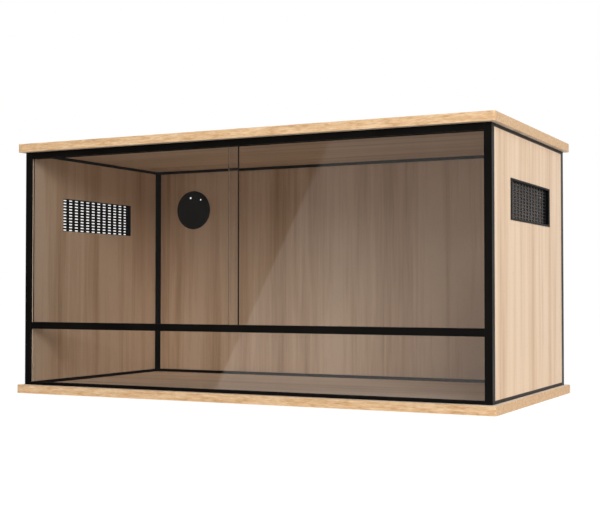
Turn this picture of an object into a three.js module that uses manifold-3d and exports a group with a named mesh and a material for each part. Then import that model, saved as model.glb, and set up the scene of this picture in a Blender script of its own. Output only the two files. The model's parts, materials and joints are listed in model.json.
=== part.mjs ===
// Terrarium cabinet: a low wooden vivarium in a thin black frame.
// Millimetres, +Z up, -Y is the glazed front. The origin is the middle of the base.
// Two overhanging boards clamp four corner posts. Wooden panels stand between the posts on
// thin strips, held by fins in their edge grooves, and each side panel has a tongue that reaches
// forward behind the front post's lip. The front is a fixed lower pane and two sliding doors in
// a double track.

import * as THREE from 'three';
import { mergeVertices } from 'three/addons/utils/BufferGeometryUtils.js';
import Module from 'manifold-3d';

const wasm = await Module();
wasm.setup();

// ---------------------------------------------------------------- driving dimensions

// Overall
const overallWidth = 908;
const overallDepth = 456;
const overallHeight = 457;

// Top and bottom boards
const boardThickness = 15;
const boardCornerRadius = 4;
const sideOverhang = 9;
const frontOverhang = 12;
const backOverhang = 12;

// Corner posts and the thin strips between them
const postWidth = 12.5;
const postDepth = 13;
const stripHeight = 5.5;
const flangeReach = 20;
const flangeThickness = 1;
const finThickness = 1.6;
const finLength = 6;
const finClearance = 0.3;

// Wooden wall panels
const panelThickness = 11;
const panelRecess = 0.5;

// Glass and its tracks
const glassThickness = 4;
const grooveWidth = 5;
const railFrontWall = 4.5;
const railWeb = 1.5;
const railBase = 1.5;
const lowerOpeningHeight = 102.4;
const midRailHeight = 12.2;
const midGrooveDepth = 4.5;
const fixedGrooveDepth = 5;
const fixedTopPlay = 1;
const topTrackHeight = 11.5;
const topGrooveDepth = 10;
const doorLift = 4.9;
const doorRunningGap = 0.3;
const doorEndGap = 0.5;
const doorSeamX = 3.5;
const doorOverlap = 23;

// Ventilation inserts, one in each side panel. The left one sits a little nearer the front.
const ventWidth = 223;
const ventHeight = 61.8;
const leftVentCentreY = -7.3;
const rightVentCentreY = 1;
const ventCentreDrop = 109.6;
const ventClearance = 0.3;
const ventRim = 0.8;
const ventFlangeSide = 6.5;
const ventFlangeTop = 2.4;
const ventFlangeThickness = 1.2;
const ventGrilleThickness = 1.2;
const ventGrilleDepth = 4.3;
const slotLength = 9.4;
const slotHeight = 2.1;
const slotPitchY = 18.05;
const slotPitchZ = 5.7;
const slotColumns = 12;
const slotRows = 11;

// Cable port in the back panel
const portCentreInset = 102.3;
const portCentreDrop = 84;
const portFlangeRadius = 40;
const portFlangeThickness = 3;
const portFlangeChamfer = 1;
const portSeatRadius = 37;
const portSeatDepth = 2;
const portBarrelRadius = 36;
const portBarrelWall = 3;
const portClearance = 0.3;
const capPlate = 1.7;
const capEdgeChamfer = 0.7;
const capSkirtWall = 1.5;
const capSkirtLength = 6.3;
const capLargeHoleRadius = 2.3;
const capLargeHoleX = -6.5;
const capLargeHoleZ = 25.6;
const capSmallHoleRadius = 1.7;
const capSmallHoleX = 18.2;
const capSmallHoleZ = 21.4;

// Board screws
const screwRadius = 2;
const screwHeadRadius = 4;
const screwHeadHeight = 2.4;
const screwLength = 34;
const screwTip = 3;
const screwSocketRadius = 1.4;
const screwSocketDepth = 1.2;
const screwClearance = 0.3;

// Facets of round parts, and how far a cutting shape runs past the face that it opens
const roundFacets = 64;
const screwFacets = 20;
const cornerFacets = 8;
const cutPast = 1;

// ---------------------------------------------------------------- derived places

const frameX = overallWidth / 2 - sideOverhang;
const frameFrontY = -overallDepth / 2 + frontOverhang;
const frameBackY = overallDepth / 2 - backOverhang;
const frameBottomZ = boardThickness;
const frameTopZ = overallHeight - boardThickness;
const openingX = frameX - postWidth;
const wallBottomZ = frameBottomZ + stripHeight;
const wallTopZ = frameTopZ - stripHeight;

const frontGrooveY = frameFrontY + railFrontWall;
const rearGrooveY = frontGrooveY + grooveWidth + railWeb;
const doubleRailBackY = rearGrooveY + grooveWidth + railWeb;
const singleRailBackY = frontGrooveY + grooveWidth + railWeb;
const paneSidePlay = (grooveWidth - glassThickness) / 2;

const midRailBottomZ = frameBottomZ + lowerOpeningHeight;
const midRailTopZ = midRailBottomZ + midRailHeight;
const topTrackBottomZ = frameTopZ - topTrackHeight;

const panelOuterOffset = panelRecess;
const panelInnerOffset = panelRecess + panelThickness;
const finOffset = panelRecess + panelThickness / 2;
const backPanelInnerY = frameBackY - panelInnerOffset;

// A side panel's tongue runs from the inner wall of its fin groove to the panel's inner face.
const tongueOuterOffset = finOffset + finThickness / 2 + finClearance;
const tongueInnerOffset = Math.min(panelInnerOffset, postWidth);

// The vents and the cable port keep their distance from the top of the frame.
const ventCentreZ = frameTopZ - ventCentreDrop;
const portX = -frameX + portCentreInset;
const portZ = frameTopZ - portCentreDrop;

// ---------------------------------------------------------------- materials

function material(colour, roughness, metalness, opacity = 1) {
  const made = new THREE.MeshStandardMaterial({ color: colour, roughness, metalness });
  made.transparent = opacity < 1;
  made.opacity = opacity;
  return made;
}

const oak = () => material(0xe0c8ac, 0.55, 0);
const blackFrame = () => material(0x1b1b1c, 0.4, 0.1);
const blackPlastic = () => material(0x232324, 0.5, 0);
const clearGlass = () => material(0xdfe8e4, 0.05, 0, 0.25);
const zincSteel = () => material(0xb9b9b4, 0.35, 0.9);

// ---------------------------------------------------------------- solids

const alongX = new THREE.Matrix4().makeBasis(
  new THREE.Vector3(0, 1, 0),
  new THREE.Vector3(0, 0, 1),
  new THREE.Vector3(1, 0, 0),
);

function box(x0, x1, y0, y1, z0, z1) {
  const geometry = new THREE.BoxGeometry(x1 - x0, y1 - y0, z1 - z0);
  return geometry.translate((x0 + x1) / 2, (y0 + y1) / 2, (z0 + z1) / 2);
}

// A box that is given by its distances inward from one corner of the frame.
function cornerBox(signX, signY, inX0, inX1, inY0, inY1, z0, z1) {
  const faceY = signY < 0 ? frameFrontY : frameBackY;
  const xs = [signX * (frameX - inX0), signX * (frameX - inX1)].sort((a, b) => a - b);
  const ys = [faceY - signY * inY0, faceY - signY * inY1].sort((a, b) => a - b);
  return box(xs[0], xs[1], ys[0], ys[1], z0, z1);
}

// A straight profile: the shape's two coordinates are Y and Z, and it runs along X.
function profileAlongX(points, x0, x1) {
  const shape = new THREE.Shape(points.map(([y, z]) => new THREE.Vector2(y, z)));
  const geometry = new THREE.ExtrudeGeometry(shape, { depth: x1 - x0, bevelEnabled: false });
  return geometry.applyMatrix4(alongX).translate(x0, 0, 0);
}

function lathe(points, facets) {
  return new THREE.LatheGeometry(points.map(([r, a]) => new THREE.Vector2(r, a)), facets);
}

function toSolid(geometry) {
  const bare = geometry.clone();
  bare.deleteAttribute('normal');
  bare.deleteAttribute('uv');
  const merged = mergeVertices(bare, 1e-4);
  const corners = Array.from(merged.index.array);
  const kept = [];
  for (let i = 0; i < corners.length; i += 3) {
    const [a, b, c] = corners.slice(i, i + 3);
    if (a !== b && b !== c && c !== a) kept.push(a, b, c);
  }
  const vertProperties = new Float32Array(merged.attributes.position.array);
  const mesh = new wasm.Mesh({ numProp: 3, vertProperties, triVerts: new Uint32Array(kept) });
  return new wasm.Manifold(mesh);
}

function toGeometry(solid) {
  const mesh = solid.getMesh();
  const geometry = new THREE.BufferGeometry();
  geometry.setAttribute('position', new THREE.BufferAttribute(mesh.vertProperties, 3));
  geometry.setIndex(new THREE.BufferAttribute(mesh.triVerts, 1));
  return geometry;
}

function join(geometries) {
  const [first, ...rest] = geometries.map(toSolid);
  return toGeometry(rest.reduce((sum, solid) => sum.add(solid), first));
}

function cut(geometry, tools) {
  return toGeometry(tools.map(toSolid).reduce((left, tool) => left.subtract(tool), toSolid(geometry)));
}

// ---------------------------------------------------------------- the assembly

const cabinet = new THREE.Group();

function add(name, geometry, surface) {
  const mesh = new THREE.Mesh(geometry, surface);
  mesh.name = name;
  cabinet.add(mesh);
}

const sides = [['left', -1], ['right', 1]];
const ventCentreY = { left: leftVentCentreY, right: rightVentCentreY };
const ends = [['front', -1], ['back', 1]];

// The screw line is the middle of a back post, and of what the tongue leaves of a front post.
function screwPlace(signX, signY) {
  const faceY = signY < 0 ? frameFrontY : frameBackY;
  const width = signY < 0 ? tongueOuterOffset : postWidth;
  return [signX * (frameX - width / 2), faceY - signY * postDepth / 2];
}

// A side panel's tongue behind the front lip. The pocket for it goes on inward by past.
function tongueBox(signX, past) {
  const inner = tongueInnerOffset + past;
  const back = postDepth + cutPast;
  return cornerBox(signX, -1, tongueOuterOffset, inner, railFrontWall, back, wallBottomZ, wallTopZ);
}

// A screw or its hole, from the head's outer face at height z inward. up is 1 or -1.
function standing(geometry, x, y, z, up) {
  return geometry.rotateX(up * Math.PI / 2).translate(x, y, z);
}

function screwHole() {
  const shank = screwRadius + screwClearance;
  const head = screwHeadRadius + screwClearance;
  const cone = screwHeadHeight + screwClearance;
  const end = boardThickness + cutPast;
  const points = [[0, -cutPast], [head, -cutPast], [head, 0], [shank, cone], [shank, end], [0, end]];
  return lathe(points, screwFacets);
}

function screw() {
  const points = [[0, screwSocketDepth], [screwSocketRadius, screwSocketDepth], [screwSocketRadius, 0],
    [screwHeadRadius, 0], [screwRadius, screwHeadHeight], [screwRadius, screwLength - screwTip],
    [0, screwLength]];
  return lathe(points, screwFacets);
}

function roundedBoard() {
  const x = overallWidth / 2;
  const y = overallDepth / 2;
  const r = boardCornerRadius;
  const shape = new THREE.Shape();
  shape.moveTo(-x + r, -y);
  shape.lineTo(x - r, -y);
  shape.absarc(x - r, -y + r, r, -Math.PI / 2, 0);
  shape.lineTo(x, y - r);
  shape.absarc(x - r, y - r, r, 0, Math.PI / 2);
  shape.lineTo(-x + r, y);
  shape.absarc(-x + r, y - r, r, Math.PI / 2, Math.PI);
  shape.lineTo(-x, -y + r);
  shape.absarc(-x + r, -y + r, r, Math.PI, 1.5 * Math.PI);
  const options = { depth: boardThickness, bevelEnabled: false, curveSegments: cornerFacets };
  return new THREE.ExtrudeGeometry(shape, options);
}

function buildBoards() {
  for (const [level, z, faceZ, up] of [['bottom', 0, 0, 1], ['top', frameTopZ, overallHeight, -1]]) {
    const holes = [];
    for (const [side, signX] of sides) {
      for (const [end, signY] of ends) {
        const [x, y] = screwPlace(signX, signY);
        holes.push(standing(screwHole(), x, y, faceZ, up));
        add(`${level}_screw_${end}_${side}`, standing(screw(), x, y, faceZ, up), zincSteel());
      }
    }
    add(`${level}_board`, cut(roundedBoard().translate(0, 0, z), holes), oak());
  }
}

// A post is a core with a fin that enters the side panel's edge groove. A front post is cut
// away for the panel's tongue, which leaves a lip in front. A back post has a second fin for
// the back panel, and a flange on the inner face of both panels.
function buildPosts() {
  for (const [side, signX] of sides) {
    for (const [end, signY] of ends) {
      const core = cornerBox(signX, signY, 0, postWidth, 0, postDepth, frameBottomZ, frameTopZ);
      const fin = [finOffset - finThickness / 2, finOffset + finThickness / 2];
      const flange = [panelInnerOffset, panelInnerOffset + flangeThickness];
      const rootX = postWidth / 2;
      const rootY = postDepth / 2;
      const parts = [
        core,
        cornerBox(signX, signY, ...fin, rootY, postDepth + finLength, wallBottomZ, wallTopZ),
      ];
      if (end === 'back') {
        parts.push(cornerBox(signX, signY, ...flange, rootY, flangeReach, wallBottomZ, wallTopZ));
        parts.push(cornerBox(signX, signY, rootX, postWidth + finLength, ...fin, wallBottomZ, wallTopZ));
        parts.push(cornerBox(signX, signY, rootX, flangeReach, ...flange, wallBottomZ, wallTopZ));
      }
      const [x, y] = screwPlace(signX, signY);
      const bore = new THREE.CylinderGeometry(
        screwRadius + screwClearance,
        screwRadius + screwClearance,
        overallHeight,
        screwFacets,
      );
      bore.rotateX(Math.PI / 2).translate(x, y, overallHeight / 2);
      const hollows = end === 'front' ? [bore, tongueBox(signX, postWidth)] : [bore];
      add(`${end}_post_${side}`, cut(join(parts), hollows), blackFrame());
    }
  }
}

// The strips under and over the wall panels, with a fin that enters the panel's edge.
function buildStrips() {
  const cornerFree = finLength + finClearance;
  const finHalf = finThickness / 2;
  for (const [level, z0, z1, finZ0, finZ1] of [
    ['bottom', frameBottomZ, wallBottomZ, frameBottomZ + stripHeight / 2, wallBottomZ + finLength],
    ['top', wallTopZ, frameTopZ, wallTopZ - finLength, wallTopZ + stripHeight / 2],
  ]) {
    const y0 = frameFrontY + postDepth;
    const y1 = frameBackY - postDepth;
    for (const [side, signX] of sides) {
      const xs = [signX * frameX, signX * openingX].sort((a, b) => a - b);
      const finX = signX * (frameX - finOffset);
      const strip = join([
        box(xs[0], xs[1], y0, y1, z0, z1),
        box(finX - finHalf, finX + finHalf, y0 + cornerFree, y1 - cornerFree, finZ0, finZ1),
      ]);
      add(`${side}_${level}_strip`, strip, blackFrame());
    }
    const finY = frameBackY - finOffset;
    const finX1 = openingX - cornerFree;
    const strip = join([
      box(-openingX, openingX, frameBackY - postDepth, frameBackY, z0, z1),
      box(-finX1, finX1, finY - finHalf, finY + finHalf, finZ0, finZ1),
    ]);
    add(`back_${level}_strip`, strip, blackFrame());
  }
}

// A groove for the fins runs round all four edges of a panel, in the middle of its thickness.
function edgeGrooves(along0, along1, makeBox) {
  const depth = finLength + finClearance;
  const start = along0 - cutPast;
  const end = along1 + cutPast;
  const low = wallBottomZ - cutPast;
  const high = wallTopZ + cutPast;
  return [
    makeBox(start, along0 + depth, low, high),
    makeBox(along1 - depth, end, low, high),
    makeBox(start, end, low, wallBottomZ + depth),
    makeBox(start, end, wallTopZ - depth, high),
  ];
}

function buildPanels() {
  const grooveHalf = finThickness / 2 + finClearance;
  const y0 = frameFrontY + postDepth;
  const y1 = frameBackY - postDepth;
  for (const [side, signX] of sides) {
    const faces = [signX * (frameX - panelOuterOffset), signX * (frameX - panelInnerOffset)];
    const xs = faces.sort((a, b) => a - b);
    const middle = signX * (frameX - finOffset);
    const grooves = edgeGrooves(y0, y1, (a0, a1, z0, z1) => (
      box(middle - grooveHalf, middle + grooveHalf, a0, a1, z0, z1)
    ));
    const halfY = ventWidth / 2 + ventClearance;
    const halfZ = ventHeight / 2 + ventClearance;
    const window = box(
      xs[0] - cutPast,
      xs[1] + cutPast,
      ventCentreY[side] - halfY,
      ventCentreY[side] + halfY,
      ventCentreZ - halfZ,
      ventCentreZ + halfZ,
    );
    const blank = join([box(xs[0], xs[1], y0, y1, wallBottomZ, wallTopZ), tongueBox(signX, 0)]);
    add(`${side}_panel`, cut(blank, [...grooves, window]), oak());
  }
  const middleY = frameBackY - finOffset;
  const backGrooves = edgeGrooves(-openingX, openingX, (a0, a1, z0, z1) => (
    box(a0, a1, middleY - grooveHalf, middleY + grooveHalf, z0, z1)
  ));
  const holeRadius = portBarrelRadius + portClearance;
  const hole = new THREE.CylinderGeometry(holeRadius, holeRadius, 3 * panelThickness, roundFacets);
  hole.translate(portX, middleY, portZ);
  const backOuterY = frameBackY - panelOuterOffset;
  const blank = box(-openingX, openingX, backPanelInnerY, backOuterY, wallBottomZ, wallTopZ);
  add('back_panel', cut(blank, [...backGrooves, hole]), oak());
}

// Front bottom rail: a low channel for the fixed pane.
function buildBottomRail() {
  const z0 = frameBottomZ;
  const z1 = frameBottomZ + stripHeight;
  const floor = frameBottomZ + railBase;
  const rail = profileAlongX([
    [frameFrontY, z0],
    [singleRailBackY, z0],
    [singleRailBackY, z1],
    [singleRailBackY - railWeb, z1],
    [singleRailBackY - railWeb, floor],
    [frontGrooveY, floor],
    [frontGrooveY, z1],
    [frameFrontY, z1],
  ], -openingX, openingX);
  add('bottom_rail', rail, blackFrame());
}

// Mid rail: one groove below for the fixed pane, two above for the doors.
function buildMidRail() {
  const z0 = midRailBottomZ;
  const z1 = midRailTopZ;
  const floor = z1 - midGrooveDepth;
  const roof = z0 + fixedGrooveDepth;
  const rail = profileAlongX([
    [frameFrontY, z0],
    [frontGrooveY, z0],
    [frontGrooveY, roof],
    [frontGrooveY + grooveWidth, roof],
    [frontGrooveY + grooveWidth, z0],
    [doubleRailBackY, z0],
    [doubleRailBackY, z1],
    [doubleRailBackY - railWeb, z1],
    [doubleRailBackY - railWeb, floor],
    [rearGrooveY, floor],
    [rearGrooveY, z1],
    [rearGrooveY - railWeb, z1],
    [rearGrooveY - railWeb, floor],
    [frontGrooveY, floor],
    [frontGrooveY, z1],
    [frameFrontY, z1],
  ], -openingX, openingX);
  add('mid_rail', rail, blackFrame());
}

// Top track: two deeper grooves, so that a door lifts clear of the mid rail.
function buildTopTrack() {
  const z0 = topTrackBottomZ;
  const z1 = frameTopZ;
  const roof = z0 + topGrooveDepth;
  const rail = profileAlongX([
    [frameFrontY, z0],
    [frontGrooveY, z0],
    [frontGrooveY, roof],
    [rearGrooveY - railWeb, roof],
    [rearGrooveY - railWeb, z0],
    [rearGrooveY, z0],
    [rearGrooveY, roof],
    [doubleRailBackY - railWeb, roof],
    [doubleRailBackY - railWeb, z0],
    [doubleRailBackY, z0],
    [doubleRailBackY, z1],
    [frameFrontY, z1],
  ], -openingX, openingX);
  add('top_track', rail, blackFrame());
}

function buildGlass() {
  const frontY = frontGrooveY + paneSidePlay;
  const rearY = rearGrooveY + paneSidePlay;
  const paneX = openingX - doorEndGap;
  const fixed = box(
    -paneX,
    paneX,
    frontY,
    frontY + glassThickness,
    frameBottomZ + railBase,
    midRailBottomZ + fixedGrooveDepth - fixedTopPlay,
  );
  add('fixed_lower_glass', fixed, clearGlass());
  const z0 = midRailTopZ - midGrooveDepth + doorRunningGap;
  const z1 = topTrackBottomZ + topGrooveDepth - doorLift;
  const left = box(-paneX, doorSeamX, frontY, frontY + glassThickness, z0, z1);
  const right = box(doorSeamX - doorOverlap, paneX, rearY, rearY + glassThickness, z0, z1);
  add('left_door_glass', left, clearGlass());
  add('right_door_glass', right, clearGlass());
}

// A vent insert: a sleeve that lines the cut-out, a flange on the panel's outer face and a
// slotted grille inside. Its own X runs outward through the wall, from the panel's inner face.
function ventInsert() {
  const w = ventWidth / 2;
  const h = ventHeight / 2;
  const innerW = w - ventRim;
  const innerH = h - ventRim;
  const flangeW = w + ventFlangeSide;
  const flangeH = h + ventFlangeTop;
  const outer = panelThickness + ventFlangeThickness;
  const sleeve = box(0, panelThickness, -w, w, -h, h);
  const flange = box(panelThickness, outer, -flangeW, flangeW, -flangeH, flangeH);
  const inside = box(-cutPast, outer + cutPast, -innerW, innerW, -innerH, innerH);
  const grilleX1 = panelThickness - ventGrilleDepth;
  const grilleX0 = grilleX1 - ventGrilleThickness;
  const rooted = ventRim / 2;
  const plate = box(grilleX0, grilleX1, -w + rooted, w - rooted, -h + rooted, h - rooted);
  const slots = [];
  for (let column = 0; column < slotColumns; column += 1) {
    for (let row = 0; row < slotRows; row += 1) {
      const y = (column - (slotColumns - 1) / 2) * slotPitchY;
      const z = (row - (slotRows - 1) / 2) * slotPitchZ;
      slots.push(box(
        grilleX0 - cutPast,
        grilleX1 + cutPast,
        y - slotLength / 2,
        y + slotLength / 2,
        z - slotHeight / 2,
        z + slotHeight / 2,
      ));
    }
  }
  return join([cut(join([sleeve, flange]), [inside]), cut(plate, slots)]);
}

function buildVents() {
  for (const [side, signX] of sides) {
    const insert = ventInsert();
    // The insert runs from the panel's inner face outward, so the left one is turned round.
    if (signX < 0) insert.rotateZ(Math.PI);
    insert.translate(signX * (frameX - panelInnerOffset), ventCentreY[side], ventCentreZ);
    add(`${side}_vent`, insert, blackPlastic());
  }
}

// The cable port: a flanged sleeve through the back panel and a push-in cap, which has two
// small holes for probe wires near its top.
function buildCablePort() {
  const frontY = backPanelInnerY - portFlangeThickness;
  const sleeveEnd = portFlangeThickness + panelThickness;
  const bore = portBarrelRadius - portBarrelWall;
  const sleeve = lathe([
    [portFlangeRadius - portFlangeChamfer, 0],
    [portFlangeRadius, portFlangeChamfer],
    [portFlangeRadius, portFlangeThickness],
    [portBarrelRadius, portFlangeThickness],
    [portBarrelRadius, sleeveEnd],
    [bore, sleeveEnd],
    [bore, portSeatDepth],
    [portSeatRadius, portSeatDepth],
    [portSeatRadius, 0],
    [portFlangeRadius - portFlangeChamfer, 0],
  ], roundFacets);
  add('cable_port_sleeve', sleeve.translate(portX, frontY, portZ), blackPlastic());
  const plateRadius = portSeatRadius - portClearance;
  const skirtOuter = bore - portClearance;
  const skirtInner = skirtOuter - capSkirtWall;
  const skirtEnd = capPlate + capSkirtLength;
  const cap = lathe([
    [0, 0],
    [plateRadius - capEdgeChamfer, 0],
    [plateRadius, capEdgeChamfer],
    [plateRadius, capPlate],
    [skirtOuter, capPlate],
    [skirtOuter, skirtEnd],
    [skirtInner, skirtEnd],
    [skirtInner, capPlate],
    [0, capPlate],
  ], roundFacets);
  const holes = [
    [capLargeHoleRadius, capLargeHoleX, capLargeHoleZ],
    [capSmallHoleRadius, capSmallHoleX, capSmallHoleZ],
  ].map(([radius, x, z]) => {
    const hole = new THREE.CylinderGeometry(radius, radius, 4 * capPlate, screwFacets);
    return hole.translate(x, 0, z);
  });
  add('cable_port_cap', cut(cap, holes).translate(portX, frontY, portZ), blackPlastic());
}

buildBoards();
buildPosts();
buildStrips();
buildPanels();
buildBottomRail();
buildMidRail();
buildTopTrack();
buildGlass();
buildVents();
buildCablePort();

export default cabinet;
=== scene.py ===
"""Looks of the terrarium cabinet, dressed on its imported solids.

Metres, +Z up, and the glazed front looks to -Y. Each solid is replaced by a copy of it with
rounded edges and a worked-out finish, which rides on the same body.
"""

import json
import math

import bmesh
import bpy
from mathutils import Euler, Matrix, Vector


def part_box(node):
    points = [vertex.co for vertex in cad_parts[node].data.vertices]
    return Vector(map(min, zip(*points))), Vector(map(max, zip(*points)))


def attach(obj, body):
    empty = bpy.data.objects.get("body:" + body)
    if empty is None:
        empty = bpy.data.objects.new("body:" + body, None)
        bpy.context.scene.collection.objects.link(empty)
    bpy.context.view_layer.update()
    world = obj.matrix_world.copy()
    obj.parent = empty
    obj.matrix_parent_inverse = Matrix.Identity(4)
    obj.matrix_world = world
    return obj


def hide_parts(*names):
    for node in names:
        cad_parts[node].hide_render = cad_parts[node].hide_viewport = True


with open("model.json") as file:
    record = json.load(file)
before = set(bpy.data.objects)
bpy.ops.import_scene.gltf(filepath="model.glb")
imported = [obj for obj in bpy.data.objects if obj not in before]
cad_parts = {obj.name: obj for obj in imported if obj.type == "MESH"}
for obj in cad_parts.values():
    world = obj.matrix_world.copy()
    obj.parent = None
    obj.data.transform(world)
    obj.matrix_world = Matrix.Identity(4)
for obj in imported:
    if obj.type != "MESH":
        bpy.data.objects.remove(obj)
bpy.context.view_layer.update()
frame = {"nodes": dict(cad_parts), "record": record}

# ---------------------------------------------------------------- camera and light

CAMERA_AT = Vector((0.9763, -1.9170, 0.1856))
CAMERA_YAW = 26.676
CAMERA_PITCH = 1.422
CAMERA_LENS = 70.21
SENSOR_WIDTH = 36.0
IMAGE_SIZE = (600, 525)

WORLD_LIGHT = 0.55
KEY_POWER = 220.0
KEY_SIZE = 2.4
KEY_DISTANCE = 6.0
KEY_AZIMUTH = 37.0
KEY_ELEVATION = 20.0
KEY_AIM = Vector((0, 0, 0.22))
FLOOR_HALF_WIDTH = 9.0
FLOOR_GREY = 0.8
FLOOR_GLOW = 1.15
FLOOR_GLOW_SHARE = 0.8

# The share of each colour of lamp light that the panes let through; sight through them is clear.
LIGHT_THROUGH_GLASS = (0.64, 0.64, 0.635)

# Edge of the reflection in the panes, as two pixels of the photograph, and the cards' light:
# two values are at the heights of CARD_FADE, and the floor cards have one
REFLECTION_TOP = (333, 131)
REFLECTION_FOOT = (214, 389)
DARK_CARD = (0.12, 0.12)
PALE_CARD = (0.76, 0.50)
FLOOR_DARK_CARD = 0.08
FLOOR_PALE_CARD = 0.90
CARD_Y = -3.0
CARD_NEAR_Y = -0.26
CARD_LEFT_X = -8.0
CARD_RIGHT_X = 3.0
CARD_HEIGHT = 3.0
CARD_LIFT = 0.002
CARD_FADE = (0.15, 0.85)
CARD_COLOUR = (1, 0.97, 0.94, 1)


def srgb(red, green, blue):
    """A colour given as it looks on a screen, 0 to 255, as a linear colour."""
    shares = [c / 255 for c in (red, green, blue)]
    return tuple(c / 12.92 if c <= 0.04045 else ((c + 0.055) / 1.055) ** 2.4 for c in shares) + (1.0,)


# ---------------------------------------------------------------- node helpers

def node(tree, kind, inputs=None, **settings):
    """A new node. inputs maps a socket to a value or to the output that feeds it."""
    made = tree.nodes.new(kind)
    for key, value in settings.items():
        setattr(made, key, value)
    for key, value in (inputs or {}).items():
        if isinstance(value, bpy.types.NodeSocket):
            tree.links.new(value, made.inputs[key])
        else:
            made.inputs[key].default_value = value
    return made


def maths(tree, operation, first, second):
    return node(tree, "ShaderNodeMath", {0: first, 1: second}, operation=operation).outputs[0]


def weighed_sum(tree, first, first_weight, second, second_weight):
    first_part = maths(tree, "MULTIPLY", first, first_weight)
    return maths(tree, "ADD", first_part, maths(tree, "MULTIPLY", second, second_weight))


def remap(tree, value, low, high, to_low=0.0, to_high=1.0):
    sockets = {0: value, 1: low, 2: high, 3: to_low, 4: to_high}
    return node(tree, "ShaderNodeMapRange", sockets).outputs[0]


def mix_colour(tree, share, first, second):
    return node(tree, "ShaderNodeMix", {0: share, 6: first, 7: second}, data_type="RGBA").outputs[2]


def ramp(tree, value, stops):
    """A colour ramp through (place, colour) stops."""
    made = node(tree, "ShaderNodeValToRGB", {0: value})
    elements = made.color_ramp.elements
    while len(elements) < len(stops):
        elements.new(0.5)
    for element, (place, colour) in zip(elements, stops):
        element.position = place
        element.color = colour
    return made.outputs[0]


def new_material(name):
    made = bpy.data.materials.new(name)
    made.use_nodes = True
    made.node_tree.nodes.clear()
    return made, made.node_tree


def finish_material(tree, shader):
    node(tree, "ShaderNodeOutputMaterial", {0: shader})


def noise(tree, place, size, shift=(0, 0, 0), detail=3.0, roughness=0.5, distortion=0.0):
    """Noise whose grains are size metres along X, Y and Z."""
    scale = tuple(1 / s for s in size)
    spread = node(tree, "ShaderNodeMapping", {0: place, 1: shift, 3: scale}).outputs[0]
    sockets = {"Vector": spread, "Scale": 1.0, "Detail": detail, "Roughness": roughness,
               "Distortion": distortion}
    return node(tree, "ShaderNodeTexNoise", sockets).outputs[0]


# ---------------------------------------------------------------- materials

# Widths and lengths of the decor's marks, in metres
BAND_SIZE = (0.060, 1.3)
FLAME_SIZE = (0.020, 0.55)
LINE_SIZE = (0.0045, 0.20)
FIBRE_SIZE = (0.0012, 0.045)
PORE_SIZE = (0.0006, 0.007)
EDGE_CLOUD_SIZE = (0.004, 0.035)
EDGE_TICK_SIZE = (0.0016, 0.012)

# How much each kind of mark tells in the decor's tone
BAND_WEIGHT = 0.42
FLAME_WEIGHT = 0.30
LINE_WEIGHT = 0.20
FIBRE_WEIGHT = 0.08


def grain_size(along, size):
    """A mark's size as (x, y, z), with its length along the grain axis."""
    width, length = size
    return tuple(length if axis == along else width for axis in "XYZ")


def wood(name, along, shift, tones):
    """A light decor with straight grain: bands, flames, fine lines and pores."""
    made, tree = new_material(name)
    place = node(tree, "ShaderNodeTexCoord").outputs["Object"]
    bands = noise(tree, place, grain_size(along, BAND_SIZE), shift, 2.0, 0.5, 0.3)
    flames = noise(tree, place, grain_size(along, FLAME_SIZE), shift, 3.0, 0.55, 0.6)
    lines = noise(tree, place, grain_size(along, LINE_SIZE), shift, 3.0, 0.6, 0.3)
    fibres = noise(tree, place, grain_size(along, FIBRE_SIZE), shift, 2.0, 0.6)
    pores = noise(tree, place, grain_size(along, PORE_SIZE), shift, 1.0, 0.5)
    broad = weighed_sum(tree, bands, BAND_WEIGHT, flames, FLAME_WEIGHT)
    fine = weighed_sum(tree, lines, LINE_WEIGHT, fibres, FIBRE_WEIGHT)
    tone = remap(tree, maths(tree, "ADD", broad, fine), 0.36, 0.62)
    dark, middle, light = tones
    colour = ramp(tree, tone, [(0.0, dark), (0.38, middle), (0.72, light), (1.0, light)])
    pore_share = remap(tree, pores, 0.60, 0.70, 0.0, 0.35)
    colour = mix_colour(tree, pore_share, colour, dark)
    rough = remap(tree, lines, 0.3, 0.7, 0.46, 0.60)
    height = maths(tree, "SUBTRACT", maths(tree, "MULTIPLY", fibres, 0.5), pore_share)
    bump = node(tree, "ShaderNodeBump", {"Strength": 0.25, "Distance": 0.00012, "Height": height})
    sockets = {"Base Color": colour, "Roughness": rough, "Normal": bump.outputs[0], "IOR": 1.45}
    shader = node(tree, "ShaderNodeBsdfPrincipled", sockets)
    finish_material(tree, shader.outputs[0])
    return made


def edge_band(name, along, tones):
    """The boards' edging: short, mottled grain that is warmer than the faces."""
    made, tree = new_material(name)
    place = node(tree, "ShaderNodeTexCoord").outputs["Object"]
    clouds = noise(tree, place, grain_size(along, EDGE_CLOUD_SIZE), (3.3, 1.7, 9.1), 3.0, 0.55)
    ticks = noise(tree, place, grain_size(along, EDGE_TICK_SIZE), (8.2, 4.4, 2.7), 2.0, 0.6)
    tone = weighed_sum(tree, clouds, 0.5, ticks, 0.5)
    dark, middle, light = tones
    colour = ramp(tree, remap(tree, tone, 0.34, 0.66), [(0.0, dark), (0.5, middle), (1.0, light)])
    bump = node(tree, "ShaderNodeBump", {"Strength": 0.2, "Distance": 0.0001, "Height": ticks})
    sockets = {"Base Color": colour, "Roughness": remap(tree, clouds, 0.3, 0.7, 0.5, 0.62),
               "Normal": bump.outputs[0], "IOR": 1.45}
    shader = node(tree, "ShaderNodeBsdfPrincipled", sockets)
    finish_material(tree, shader.outputs[0])
    return made


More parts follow.
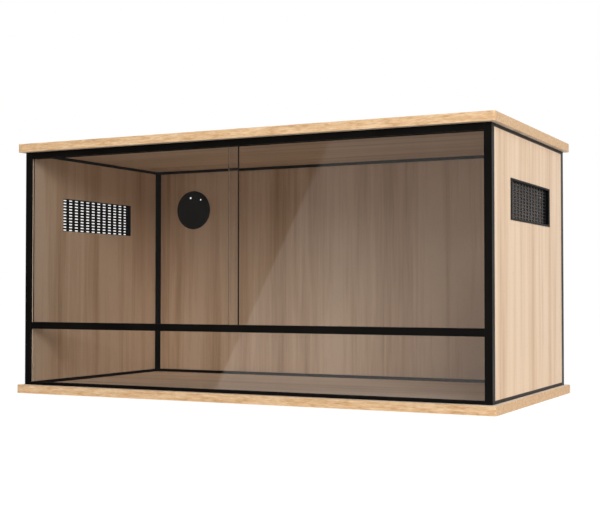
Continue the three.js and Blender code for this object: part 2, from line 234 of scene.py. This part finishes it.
def painted(name, colour, worn, roughness, gloss, grain=0.0007, bump_height=0.00002):
    """Satin paint or plastic: a fine orange peel, and a slow drift of gloss and tone over it."""
    made, tree = new_material(name)
    place = node(tree, "ShaderNodeTexCoord").outputs["Object"]
    drift = noise(tree, place, (0.06, 0.06, 0.06), (1.0, 5.0, 2.0), 3.0)
    peel = noise(tree, place, (grain, grain, grain), (4.0, 2.0, 7.0), 2.0)
    tone = mix_colour(tree, remap(tree, drift, 0.35, 0.7), colour, worn)
    rough = remap(tree, drift, 0.3, 0.7, roughness - 0.05, roughness + 0.07)
    bump = node(tree, "ShaderNodeBump", {"Strength": 0.35, "Distance": bump_height, "Height": peel})
    sockets = {"Base Color": tone, "Roughness": rough, "Normal": bump.outputs[0], "IOR": 1.5,
               "Specular IOR Level": gloss}
    shader = node(tree, "ShaderNodeBsdfPrincipled", sockets)
    finish_material(tree, shader.outputs[0])
    return made


def pane_glass(name):
    """Clear float glass. Light from lamps passes it straight, dimmed by its tint."""
    made, tree = new_material(name)
    place = node(tree, "ShaderNodeTexCoord").outputs["Object"]
    smears = noise(tree, place, (0.05, 0.05, 0.09), (2.0, 6.0, 1.0), 4.0, 0.6, 1.2)
    rough = remap(tree, smears, 0.5, 0.8, 0.0, 0.03)
    tint = mix_colour(tree, remap(tree, smears, 0.35, 0.75), GLASS_CLEAR, GLASS_SMEARED)
    sockets = {"Base Color": tint, "Roughness": rough, "IOR": 1.45, "Transmission Weight": 1.0}
    glass = node(tree, "ShaderNodeBsdfPrincipled", sockets)
    through = node(tree, "ShaderNodeBsdfTransparent", {"Color": LIGHT_THROUGH_GLASS + (1.0,)})
    path = node(tree, "ShaderNodeLightPath").outputs
    share = maths(tree, "MAXIMUM", path["Is Shadow Ray"], path["Is Diffuse Ray"])
    shader = node(tree, "ShaderNodeMixShader", {0: share, 1: glass.outputs[0], 2: through.outputs[0]})
    finish_material(tree, shader.outputs[0])
    return made


def shaded_ground_edge(name):
    """The panes' ground edges: fine and matt, with a dark colour that is painted shade."""
    made, tree = new_material(name)
    place = node(tree, "ShaderNodeTexCoord").outputs["Object"]
    grit = noise(tree, place, (0.0006, 0.0006, 0.0006), (0, 0, 0), 2.0)
    long_marks = noise(tree, place, (0.0008, 0.0008, 0.02), (5.0, 1.0, 3.0), 2.0)
    tone = mix_colour(tree, remap(tree, long_marks, 0.3, 0.7), EDGE_SHADE_DARK, EDGE_SHADE_PALE)
    bump = node(tree, "ShaderNodeBump", {"Strength": 0.4, "Distance": 0.00003, "Height": grit})
    sockets = {"Base Color": tone, "Roughness": 0.5, "Normal": bump.outputs[0], "Specular IOR Level": 0.1}
    shader = node(tree, "ShaderNodeBsdfPrincipled", sockets)
    finish_material(tree, shader.outputs[0])
    return made


def zinc(name):
    """Zinc-plated steel with a faint spangle."""
    made, tree = new_material(name)
    place = node(tree, "ShaderNodeTexCoord").outputs["Object"]
    spangle = noise(tree, place, (0.0012, 0.0012, 0.0012), (3.0, 3.0, 3.0), 3.0)
    tone = mix_colour(tree, spangle, ZINC_DARK, ZINC_PALE)
    bump = node(tree, "ShaderNodeBump", {"Strength": 0.3, "Distance": 0.00002, "Height": spangle})
    sockets = {"Base Color": tone, "Metallic": 1.0, "Roughness": remap(tree, spangle, 0.3, 0.7, 0.24, 0.38),
               "Normal": bump.outputs[0]}
    shader = node(tree, "ShaderNodeBsdfPrincipled", sockets)
    finish_material(tree, shader.outputs[0])
    return made


PANEL_TONES = (srgb(198, 163, 129), srgb(225, 193, 160), srgb(240, 212, 182))
INNER_TONES = (srgb(196, 163, 131), srgb(222, 192, 162), srgb(237, 211, 184))
FACE_TONES = (srgb(196, 169, 141), srgb(220, 197, 172), srgb(234, 214, 191))
# Painted light: the bottom board is the same oak as the top board, given lighter tones that stand in for
# light on the inner floor.
LIGHTENED_FLOOR_TONES = (srgb(210, 184, 158), srgb(236, 213, 190), srgb(248, 230, 210))
EDGE_TONES = (srgb(190, 146, 99), srgb(219, 180, 135), srgb(236, 205, 166))
PAINT_BLACK = srgb(13, 12, 11)
PAINT_WORN = srgb(17, 16, 14)
PAINT_RUBBED = srgb(26, 25, 23)
PORT_BLACK = srgb(38, 41, 44)
PORT_WORN = srgb(45, 48, 51)
VENT_BLACK = srgb(9, 9, 9)
VENT_WORN = srgb(13, 13, 13)
GRILLE_GREY = srgb(27, 27, 29)
GRILLE_WORN = srgb(33, 33, 35)
PLASTIC_GRAIN = 0.0004
PLASTIC_BUMP = 0.00003
GLASS_CLEAR = (0.985, 0.975, 0.965, 1)
GLASS_SMEARED = (0.965, 0.955, 0.945, 1)
# Painted shade: the left door's glass edge is coloured dark brown to give the dark line where the door's
# edge is seen.
EDGE_SHADE_DARK = srgb(20, 14, 9)
EDGE_SHADE_PALE = srgb(34, 26, 18)
ZINC_DARK = srgb(168, 168, 160)
ZINC_PALE = srgb(205, 205, 200)

MATERIALS = {
    "left_panel": wood("oak_left_panel", "Z", (2.1, 7.3, 0.4), INNER_TONES),
    "right_panel": wood("oak_right_panel", "Z", (5.2, 3.6, 1.9), PANEL_TONES),
    "back_panel": wood("oak_back_panel", "Z", (9.4, 1.2, 3.3), INNER_TONES),
    # The bottom board's lighter tones are painted light on the inner floor.
    "bottom_board": wood("oak_bottom_face_painted_light", "X", (4.6, 8.8, 2.5), LIGHTENED_FLOOR_TONES),
    "top_board": wood("oak_top_face", "X", (7.9, 2.4, 6.1), FACE_TONES),
    "board_edge": edge_band("oak_edge_band", "X", EDGE_TONES),
    "paint": painted("black_paint", PAINT_BLACK, PAINT_WORN, 0.36, 0.05),
    "paint_edge": painted("black_paint_edge", PAINT_WORN, PAINT_RUBBED, 0.32, 0.1),
    "port": painted("black_port", PORT_BLACK, PORT_WORN, 0.40, 0.12, PLASTIC_GRAIN, PLASTIC_BUMP),
    "vent": painted("black_vent", VENT_BLACK, VENT_WORN, 0.42, 0.03, PLASTIC_GRAIN, PLASTIC_BUMP),
    "grille": painted("grey_grille", GRILLE_GREY, GRILLE_WORN, 0.45, 0.22, PLASTIC_GRAIN, PLASTIC_BUMP),
    "glass": pane_glass("clear_float_glass"),
    "glass_edge": shaded_ground_edge("ground_glass_edge_painted_shade"),
    "polished_edge": pane_glass("polished_glass_edge"),
    "zinc": zinc("zinc_plate"),
}

# ---------------------------------------------------------------- pieces

SHARP_ANGLE = math.radians(30)
FLAT_ANGLE = math.radians(0.5)
WELD_DISTANCE = 1e-6

# How far the roundings reach from the sharp edge, in metres. On the left door the reach of
# the matt edge with painted shade is that of the dark line in the photograph.
BOARD_ROUNDING = 0.0009
PANEL_ROUNDING = 0.0002
FRAME_ROUNDING = 0.00035
SHADED_MATT_GLASS_EDGE = 0.0012
CLEAR_GLASS_EDGE = 0.0004
VENT_ROUNDING = 0.0002
PORT_ROUNDING = 0.0004
SCREW_ROUNDING = 0.00015

# The grille's outer face lies GRILLE_DEPTH behind the vent's flange. The slots' flare is less
# at the rim, where there is no room for more.
VENT_OUTER_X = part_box("right_vent")[1].x
GRILLE_DEPTH = 0.0055
GRILLE_DEPTH_SLACK = 0.0001
SLOT_FLARE = 0.001
RIM_FLARE = 0.0003
SLOT_LINE_GAP = 0.0003

BODY_OF = {name: body for body, names in frame["record"]["behaviour"]["bodies"].items()
           for name in names}


def rounded_mesh(name, radius, segments, pick, edge_surface, whole, change):
    """A solid's mesh with each sharp edge rounded."""
    shape = bmesh.new()
    shape.from_mesh(frame["nodes"][name].data)
    bmesh.ops.remove_doubles(shape, verts=shape.verts, dist=WELD_DISTANCE)
    if change:
        change(shape)
    if whole:
        bmesh.ops.dissolve_limit(shape, angle_limit=FLAT_ANGLE, verts=shape.verts, edges=shape.edges)
    for face in shape.faces:
        face.smooth = True
        face.material_index = pick(face) if pick else 0
    sharp = [e for e in shape.edges if e.calc_face_angle(0.0) > SHARP_ANGLE]
    bmesh.ops.bevel(
        shape,
        geom=sharp,
        offset=radius,
        offset_type="OFFSET",
        segments=segments,
        profile=0.5,
        affect="EDGES",
        clamp_overlap=True,
        material=edge_surface,
    )
    mesh = bpy.data.meshes.new(f"{name}_piece")
    shape.to_mesh(mesh)
    shape.free()
    return mesh


def lean_to_flats(mesh):
    """Gives each corner the normal of the larger faces round it, so that flat faces look flat."""
    normals = [Vector() for _ in mesh.vertices]
    for face in mesh.polygons:
        for corner in face.vertices:
            normals[corner] += face.normal * face.area
    mesh.normals_split_custom_set_from_vertices([n.normalized() for n in normals])


def settle(piece, name):
    """The piece stands for the solid and rides on its body."""
    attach(piece, BODY_OF[name])
    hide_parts(name)


def dressed(name, surfaces, radius, pick=None, edge_surface=0, segments=2, whole=True, change=None):
    """A solid's copy with rounded edges. pick gives the number of a face's surface, whole joins
    the solid's flat triangles, and change is made to the shape before that."""
    mesh = rounded_mesh(name, radius, segments, pick, edge_surface, whole, change)
    lean_to_flats(mesh)
    for surface in surfaces:
        mesh.materials.append(MATERIALS[surface])
    piece = bpy.data.objects.new(f"{name}_piece", mesh)
    bpy.context.scene.collection.objects.link(piece)
    settle(piece, name)


def upright(face):
    """0 for a face that looks up or down, and 1 for an upright one."""
    return 0 if abs(face.normal.z) > 0.5 else 1


def pane_face(face):
    """0 for the two large faces of a pane, and 1 for its edges."""
    return 0 if abs(face.normal.y) > 0.5 else 1


def vent_depth(point):
    """How far a point of a vent lies behind its outer face."""
    return VENT_OUTER_X - abs(point.x)


def grille_face(face):
    """1 for the outer face of a vent's grille, and 0 for the rest of the insert."""
    on_face = abs(vent_depth(face.calc_center_median()) - GRILLE_DEPTH) < GRILLE_DEPTH_SLACK
    return 1 if abs(face.normal.x) > 0.9 and on_face else 0


def distinct(values):
    """The values in order, with those that lie within SLOT_LINE_GAP of another one left out."""
    found = []
    for value in sorted(values):
        if not found or value - found[-1] > SLOT_LINE_GAP:
            found.append(value)
    return found


def nearest(places, value):
    """The number of the place that is nearest to a value."""
    return min(range(len(places)), key=lambda index: abs(places[index] - value))


def flared_slots(shape):
    """Widens each slot of a vent's grille towards the outside. The grille's outer face is laid
    anew for that, as bars along the rows and short webs between the slots of a row."""
    front = [f for f in shape.faces if grille_face(f)]
    corners = {corner for face in front for corner in face.verts}
    faces_left = front[0].normal.x < 0
    columns = distinct(corner.co.y for corner in corners)
    rows = distinct(corner.co.z for corner in corners)
    at = {(nearest(columns, corner.co.y), nearest(rows, corner.co.z)): corner for corner in corners}
    bmesh.ops.delete(shape, geom=front, context="FACES")
    last, top = len(columns) - 1, len(rows) - 1
    across, upward = list(range(1, last)), list(range(1, top))
    loops = [
        [(0, 0), (last, 0)] + [(i, 1) for i in reversed(across)],
        [(i, top - 1) for i in across] + [(last, top), (0, top)],
        [(0, 0)] + [(1, j) for j in upward] + [(0, top)],
        [(last, 0), (last, top)] + [(last - 1, j) for j in reversed(upward)],
    ]
    for j in range(2, top - 1, 2):
        loops.append([(i, j) for i in across] + [(i, j + 1) for i in reversed(across)])
    for j in range(1, top, 2):
        loops += [[(i, j), (i + 1, j), (i + 1, j + 1), (i, j + 1)] for i in range(2, last - 1, 2)]
    for loop in loops:
        ring = [at[place] for place in loop]
        shape.faces.new(reversed(ring) if faces_left else ring)
    for (i, j), corner in at.items():
        if 0 < i < last and 0 < j < top:
            rise = RIM_FLARE if j in (1, top - 1) else SLOT_FLARE
            corner.co.y += SLOT_FLARE if i % 2 == 0 else -SLOT_FLARE
            corner.co.z += rise if j % 2 == 0 else -rise
    shape.normal_update()


def build_wood():
    for name in ("bottom_board", "top_board"):
        dressed(name, (name, "board_edge"), BOARD_ROUNDING, upright, edge_surface=1, segments=3)
    for name in ("left_panel", "right_panel", "back_panel"):
        dressed(name, (name,), PANEL_ROUNDING, whole=False)


def build_frame():
    names = [n for n in frame["nodes"] if n.endswith(("_strip", "_rail", "_track")) or "_post_" in n]
    for name in sorted(names):
        dressed(name, ("paint", "paint_edge"), FRAME_ROUNDING, edge_surface=1)


def build_glass():
    matt, clear = ("glass", "glass_edge"), ("glass", "polished_edge")
    # The left door's edges are matt, and their dark colour is painted shade.
    dressed("left_door_glass", matt, SHADED_MATT_GLASS_EDGE, pane_face, edge_surface=1, segments=1)
    for name in ("fixed_lower_glass", "right_door_glass"):
        dressed(name, clear, CLEAR_GLASS_EDGE, pane_face, edge_surface=1, segments=1)


def build_plastic():
    for name in ("left_vent", "right_vent"):
        dressed(name, ("vent", "grille"), VENT_ROUNDING, grille_face, segments=1, whole=False,
                change=flared_slots)
    for name in ("cable_port_sleeve", "cable_port_cap"):
        dressed(name, ("port",), PORT_ROUNDING)


def build_screws():
    for name in sorted(n for n in frame["nodes"] if "_screw_" in n):
        dressed(name, ("zinc",), SCREW_ROUNDING, segments=1)


# ---------------------------------------------------------------- studio

def stage_sheet(name, corners, surface):
    mesh = bpy.data.meshes.new(name)
    mesh.from_pydata([tuple(c) for c in corners], [], [tuple(range(len(corners)))])
    mesh.materials.append(surface)
    sheet = bpy.data.objects.new(name, mesh)
    bpy.context.scene.collection.objects.link(sheet)
    return sheet


def floor_surface():
    """White for the camera and in reflections, with a soft trace of the shadow."""
    made, tree = new_material("studio_floor")
    pale = node(tree, "ShaderNodeBsdfDiffuse", {"Color": (FLOOR_GREY, FLOOR_GREY, FLOOR_GREY, 1)})
    glow = node(tree, "ShaderNodeEmission", {"Color": (1, 1, 1, 1), "Strength": FLOOR_GLOW})
    path = node(tree, "ShaderNodeLightPath").outputs
    seen = maths(tree, "MAXIMUM", path["Is Camera Ray"], path["Is Glossy Ray"])
    seen = maths(tree, "MAXIMUM", seen, path["Is Transmission Ray"])
    share = maths(tree, "MULTIPLY", seen, FLOOR_GLOW_SHARE)
    shader = node(tree, "ShaderNodeMixShader", {0: share, 1: pale.outputs[0], 2: glow.outputs[0]})
    finish_material(tree, shader.outputs[0])
    return made


def glow_surface(name, foot_light, high_light):
    """An even glow that fades from one strength to another between the heights of CARD_FADE."""
    made, tree = new_material(name)
    place = node(tree, "ShaderNodeNewGeometry").outputs["Position"]
    height = node(tree, "ShaderNodeSeparateXYZ", {0: place}).outputs[2]
    strength = remap(tree, height, *CARD_FADE, foot_light, high_light)
    glow = node(tree, "ShaderNodeEmission", {"Color": CARD_COLOUR, "Strength": strength})
    finish_material(tree, glow.outputs[0])
    return made


def build_floor():
    half = FLOOR_HALF_WIDTH
    corners = [(-half, -half, 0), (half, -half, 0), (half, half, 0), (-half, half, 0)]
    stage_sheet("studio_floor", corners, floor_surface())


def pixel_ray(pixel):
    """The direction in which the camera sees a pixel of the photograph."""
    width, height = IMAGE_SIZE
    focal = CAMERA_LENS / SENSOR_WIDTH * width
    local = Vector(((pixel[0] + 0.5 - width / 2) / focal, (height / 2 - pixel[1] - 0.5) / focal, -1))
    return camera_turn().to_matrix() @ local


def camera_turn():
    return Euler((math.radians(90 + CAMERA_PITCH), 0, math.radians(CAMERA_YAW)))


def mirrored_point(pixel, axis, value):
    """Where the mirror image of a pixel's ray in the panes meets a plane square to an axis."""
    glass_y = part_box("left_door_glass")[0].y
    ray = pixel_ray(pixel)
    on_glass = CAMERA_AT + ray * ((glass_y - CAMERA_AT.y) / ray.y)
    back = Vector((ray.x, -ray.y, ray.z))
    return on_glass + back * ((value - on_glass[axis]) / back[axis])


def build_cards():
    """A dark and a pale card in front, which only glossy surfaces and the panes show: their
    joint draws the slanting edge. Each one is upright at the back and goes on along the floor."""
    top = mirrored_point(REFLECTION_TOP, 1, CARD_Y)
    foot = mirrored_point(REFLECTION_FOOT, 1, CARD_Y)
    slope = (top - foot) / (top.z - foot.z)
    high = top + slope * (CARD_HEIGHT - top.z)
    low = top + slope * (CARD_LIFT - top.z)
    near = mirrored_point(REFLECTION_FOOT, 2, CARD_LIFT)
    near = near + (near - low) * ((CARD_NEAR_Y - near.y) / (near.y - low.y))
    for name, end_x, wall_light, floor_light in (
            ("dark_card", CARD_LEFT_X, DARK_CARD, FLOOR_DARK_CARD),
            ("pale_card", CARD_RIGHT_X, PALE_CARD, FLOOR_PALE_CARD)):
        ends = [Vector((end_x, y, z)) for y, z in (
            (CARD_Y, CARD_HEIGHT), (CARD_Y, CARD_LIFT), (CARD_NEAR_Y, CARD_LIFT))]
        for part, lights, corners in (
                ("wall", wall_light, (high, low, ends[1], ends[0])),
                ("floor", (floor_light, floor_light), (low, near, ends[2], ends[1]))):
            card = stage_sheet(f"{name}_{part}", corners, glow_surface(f"{name}_{part}", *lights))
            card.visible_camera = False
            card.visible_diffuse = False
            card.visible_volume_scatter = False
            card.visible_shadow = False


def build_world():
    world = bpy.data.worlds.new("studio")
    world.use_nodes = True
    tree = world.node_tree
    tree.nodes.clear()
    path = node(tree, "ShaderNodeLightPath").outputs
    seen = maths(tree, "MAXIMUM", path["Is Camera Ray"], path["Is Glossy Ray"])
    seen = maths(tree, "MAXIMUM", seen, path["Is Transmission Ray"])
    strength = remap(tree, seen, 0.0, 1.0, WORLD_LIGHT, 1.0)
    sky = node(tree, "ShaderNodeBackground", {"Color": (1, 1, 1, 1), "Strength": strength})
    node(tree, "ShaderNodeOutputWorld", {0: sky.outputs[0]})
    bpy.context.scene.world = world


def build_lamp(name, power, size, azimuth, elevation, distance):
    """A square soft lamp that looks at KEY_AIM, in the cabinet's middle."""
    lamp = bpy.data.lights.new(name, "AREA")
    lamp.energy = power
    lamp.size = size
    around, up = math.radians(azimuth), math.radians(elevation)
    away = Vector((math.sin(around) * math.cos(up), -math.cos(around) * math.cos(up), math.sin(up)))
    held = bpy.data.objects.new(name, lamp)
    held.location = KEY_AIM + away * distance
    held.rotation_euler = away.to_track_quat("Z", "Y").to_euler()
    bpy.context.scene.collection.objects.link(held)


def build_camera():
    eye = bpy.data.cameras.new("photo_view")
    eye.lens = CAMERA_LENS
    eye.sensor_width = SENSOR_WIDTH
    held = bpy.data.objects.new("photo_view", eye)
    held.location = CAMERA_AT
    held.rotation_euler = camera_turn()
    bpy.context.scene.collection.objects.link(held)
    bpy.context.scene.camera = held


build_camera()
build_world()
build_floor()
build_cards()
build_lamp("key_lamp", KEY_POWER, KEY_SIZE, KEY_AZIMUTH, KEY_ELEVATION, KEY_DISTANCE)
build_wood()
build_frame()
build_glass()
build_plastic()
build_screws()
bpy.context.scene.view_settings.view_transform = "Standard"
